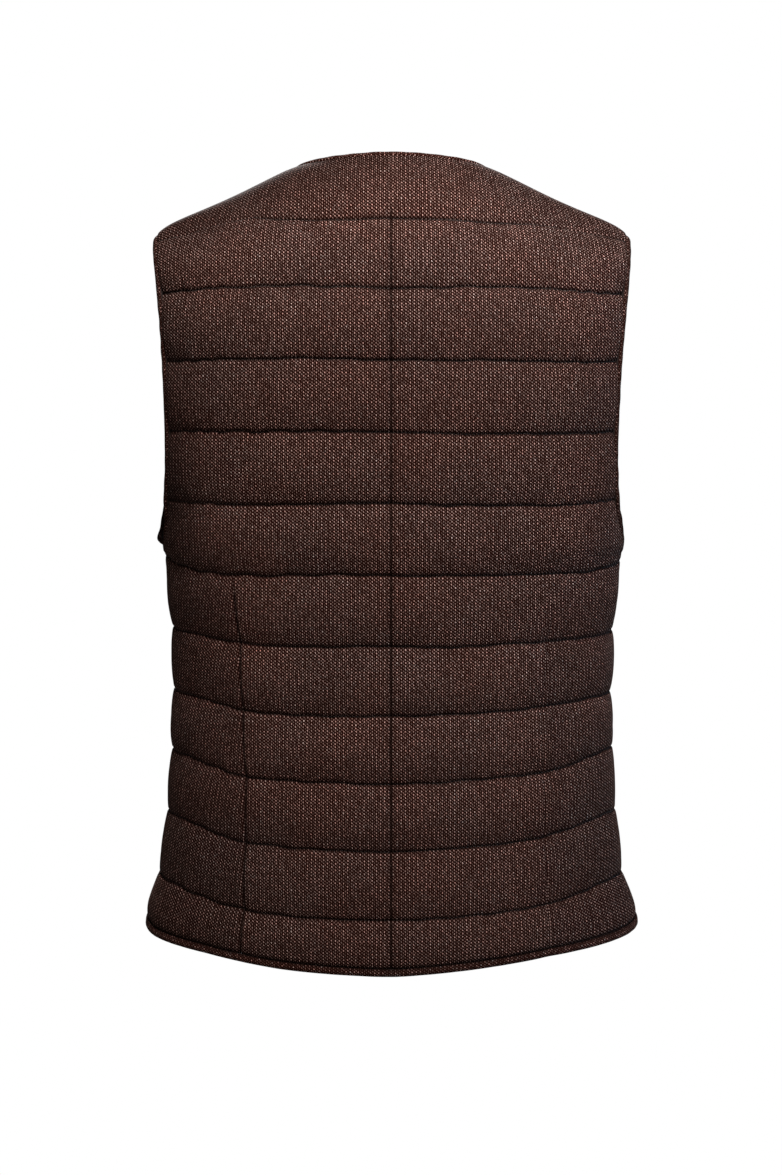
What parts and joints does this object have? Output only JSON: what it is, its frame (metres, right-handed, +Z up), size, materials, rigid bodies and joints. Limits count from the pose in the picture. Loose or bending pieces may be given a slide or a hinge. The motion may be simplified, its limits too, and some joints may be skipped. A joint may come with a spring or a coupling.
{
  "type": "quilted vest",
  "caption": "Collarless sleeveless vest of dark wool, quilted in level rows, with welted edges and a buttoned front, filled out as when worn.",
  "frame": {"origin": "between the wearer's shoulders, on the centre plane, level with the upper back, where the vest hangs on its wearer", "axes": "+Z up towards the neck, the front of the vest faces -Y, its back faces +Y, the wearer's left side is +X"},
  "size_m": [0.4222, 0.2602, 0.6495],
  "materials": {
    "wool": "coarse woven wool in very dark brown, flecked with beige ribs, matt with a soft nap",
    "wool_welt": "the same wool, pressed flat over the edges",
    "horn_button": "dark horn, satin"
  },
  "bodies": {
    "root": {"back_left_body": "wool", "back_left_shoulder": "wool", "back_right_body": "wool", "back_right_shoulder": "wool", "front_left_body": "wool", "front_left_shoulder": "wool", "front_right_body": "wool", "front_right_shoulder": "wool", "armhole_welt_left": "wool_welt", "armhole_welt_right": "wool_welt", "neck_welt": "wool_welt", "hem_welt_back": "wool_welt", "hem_welt_front_left": "wool_welt", "hem_welt_front_right": "wool_welt", "button_1": "horn_button", "button_2": "horn_button", "button_3": "horn_button", "button_4": "horn_button", "button_5": "horn_button"}
  },
  "joints": []
}
